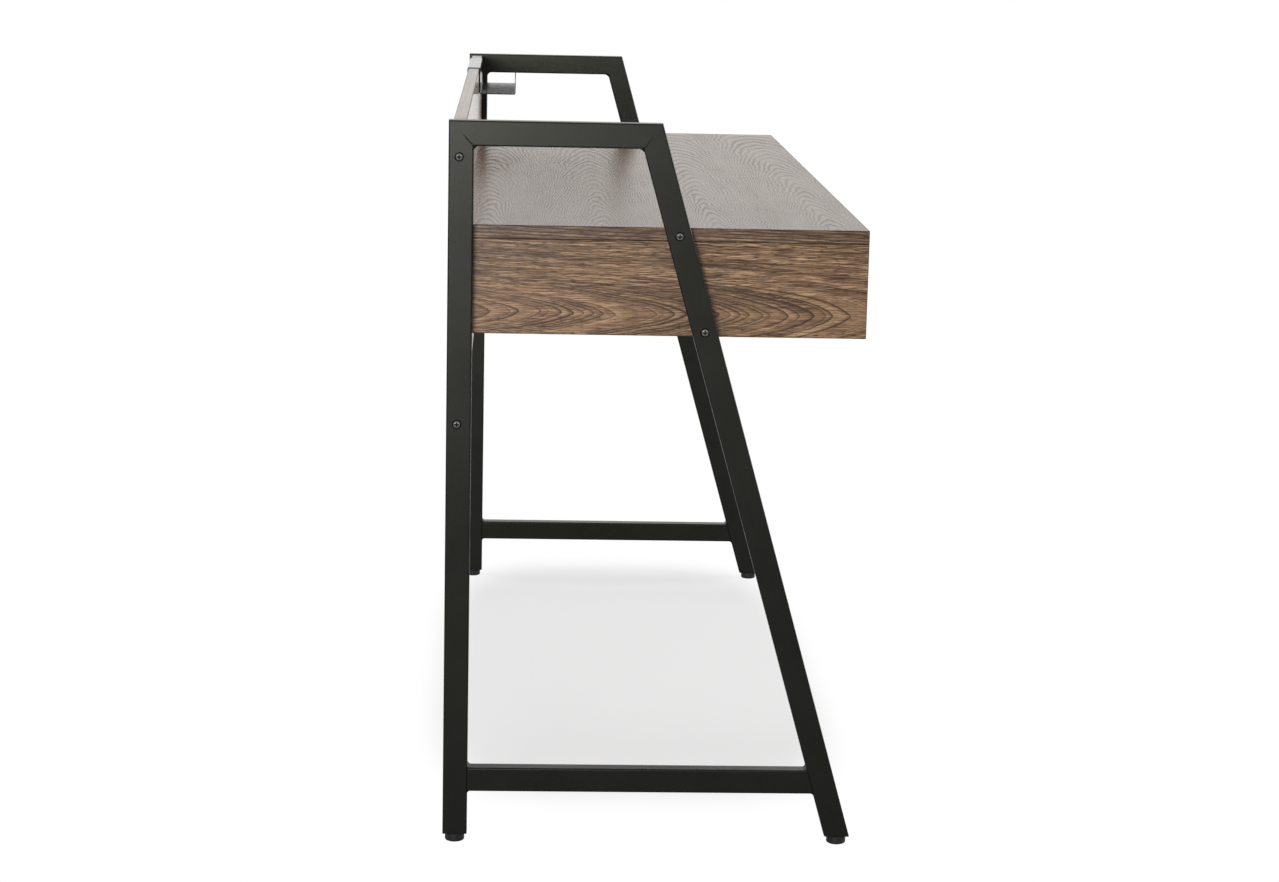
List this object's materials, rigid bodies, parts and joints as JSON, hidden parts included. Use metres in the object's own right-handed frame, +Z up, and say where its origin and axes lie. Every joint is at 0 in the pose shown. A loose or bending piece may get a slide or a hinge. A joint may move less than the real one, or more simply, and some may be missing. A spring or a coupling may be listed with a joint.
{
  "type": "writing desk",
  "caption": "Writing desk: a walnut-look box with inset drawers and a raised back panel between black steel tube side frames with leaning front legs, with a hooked tray.",
  "frame": {"origin": "on the floor, under the middle of the desk's outer box", "axes": "+X to the user's right along the desk, +Y to its back, +Z up"},
  "size_m": [1.4062, 0.505, 0.889],
  "materials": {
    "frame_steel": "satin olive-black powder coat",
    "walnut_board": "satin brown walnut-look laminate on particle board",
    "drawer_board": "satin walnut-look foil on particle board",
    "drawer_base": "hardboard with a smooth printed face",
    "foot_plastic": "moulded black",
    "plug_plastic": "moulded black",
    "black_screws": "black zinc, slightly glossy",
    "zinc_screws": "bright zinc",
    "fitting_zinc": "die-cast zinc",
    "dowel_wood": "bare beech",
    "slide_steel": "zinc-plated",
    "slide_cage": "zinc-plated strip with steel balls",
    "tray_steel": "satin black powder coat"
  },
  "bodies": {
    "desk": {"left_rear_leg": "frame_steel", "left_front_leg": "frame_steel", "left_top_rail": "frame_steel", "left_bottom_rail": "frame_steel", "left_rear_leg_plug": "plug_plastic", "left_front_leg_plug": "plug_plastic", "left_frame_screws": "black_screws", "left_side_panel": "walnut_board", "right_rear_leg": "frame_steel", "right_front_leg": "frame_steel", "right_top_rail": "frame_steel", "right_bottom_rail": "frame_steel", "right_rear_leg_plug": "plug_plastic", "right_front_leg_plug": "plug_plastic", "right_frame_screws": "black_screws", "right_side_panel": "walnut_board", "desktop": "walnut_board", "upper_back_panel": "walnut_board", "lower_back_board": "walnut_board", "centre_divider": "walnut_board", "bottom_panel": "walnut_board", "board_dowels": "dowel_wood", "cam_bolts": "fitting_zinc", "cam_locks": "fitting_zinc", "cabinet_rail_screws": "zinc_screws", "left_drawer_left_cabinet_rail": "slide_steel", "left_drawer_right_cabinet_rail": "slide_steel", "right_drawer_left_cabinet_rail": "slide_steel", "right_drawer_right_cabinet_rail": "slide_steel"},
    "left_drawer": {"left_drawer_front": "walnut_board", "left_drawer_left_side": "drawer_board", "left_drawer_right_side": "drawer_board", "left_drawer_back": "drawer_board", "left_drawer_bottom": "drawer_base", "left_drawer_left_drawer_rail": "slide_steel", "left_drawer_right_drawer_rail": "slide_steel", "left_drawer_screws": "zinc_screws", "left_drawer_dowels": "dowel_wood", "left_drawer_rail_screws": "zinc_screws"},
    "left_drawer_left_ball_cage": {"left_drawer_left_ball_cage": "slide_cage"},
    "left_drawer_right_ball_cage": {"left_drawer_right_ball_cage": "slide_cage"},
    "right_drawer": {"right_drawer_front": "walnut_board", "right_drawer_left_side": "drawer_board", "right_drawer_right_side": "drawer_board", "right_drawer_back": "drawer_board", "right_drawer_bottom": "drawer_base", "right_drawer_left_drawer_rail": "slide_steel", "right_drawer_right_drawer_rail": "slide_steel", "right_drawer_screws": "zinc_screws", "right_drawer_dowels": "dowel_wood", "right_drawer_rail_screws": "zinc_screws"},
    "right_drawer_left_ball_cage": {"right_drawer_left_ball_cage": "slide_cage"},
    "right_drawer_right_ball_cage": {"right_drawer_right_ball_cage": "slide_cage"},
    "left_rear_foot": {"left_rear_foot": "foot_plastic"},
    "left_front_foot": {"left_front_foot": "foot_plastic"},
    "right_rear_foot": {"right_rear_foot": "foot_plastic"},
    "right_front_foot": {"right_front_foot": "foot_plastic"},
    "hooked_tray": {"hooked_tray": "tray_steel"}
  },
  "joints": [
    {"name": "left_drawer_slide", "type": "slide", "parent": "desk", "child": "left_drawer", "axis": [0, -1, 0], "range_m": [0, 0.29]},
    {"name": "left_drawer_left_ball_cage_slide", "type": "slide", "parent": "desk", "child": "left_drawer_left_ball_cage", "axis": [0, -1, 0], "range_m": [0, 0.145]},
    {"name": "left_drawer_right_ball_cage_slide", "type": "slide", "parent": "desk", "child": "left_drawer_right_ball_cage", "axis": [0, -1, 0], "range_m": [0, 0.145]},
    {"name": "right_drawer_slide", "type": "slide", "parent": "desk", "child": "right_drawer", "axis": [0, -1, 0], "range_m": [0, 0.29]},
    {"name": "right_drawer_left_ball_cage_slide", "type": "slide", "parent": "desk", "child": "right_drawer_left_ball_cage", "axis": [0, -1, 0], "range_m": [0, 0.145]},
    {"name": "right_drawer_right_ball_cage_slide", "type": "slide", "parent": "desk", "child": "right_drawer_right_ball_cage", "axis": [0, -1, 0], "range_m": [0, 0.145]},
    {"name": "left_rear_foot_screw", "type": "slide", "parent": "desk", "child": "left_rear_foot", "axis": [0, 0, -1], "range_m": [0, 0.008]},
    {"name": "left_front_foot_screw", "type": "slide", "parent": "desk", "child": "left_front_foot", "axis": [0, 0, -1], "range_m": [0, 0.008]},
    {"name": "right_rear_foot_screw", "type": "slide", "parent": "desk", "child": "right_rear_foot", "axis": [0, 0, -1], "range_m": [0, 0.008]},
    {"name": "right_front_foot_screw", "type": "slide", "parent": "desk", "child": "right_front_foot", "axis": [0, 0, -1], "range_m": [0, 0.008]},
    {"name": "hooked_tray_slide", "type": "slide", "parent": "desk", "child": "hooked_tray", "axis": [1, 0, 0], "range_m": [-1.003, 0.087]}
  ],
  "couplings": [
    {"joint": "left_drawer_left_ball_cage_slide", "follows": "left_drawer_slide", "ratio": 0.5},
    {"joint": "left_drawer_right_ball_cage_slide", "follows": "left_drawer_slide", "ratio": 0.5},
    {"joint": "right_drawer_left_ball_cage_slide", "follows": "right_drawer_slide", "ratio": 0.5},
    {"joint": "right_drawer_right_ball_cage_slide", "follows": "right_drawer_slide", "ratio": 0.5}
  ]
}
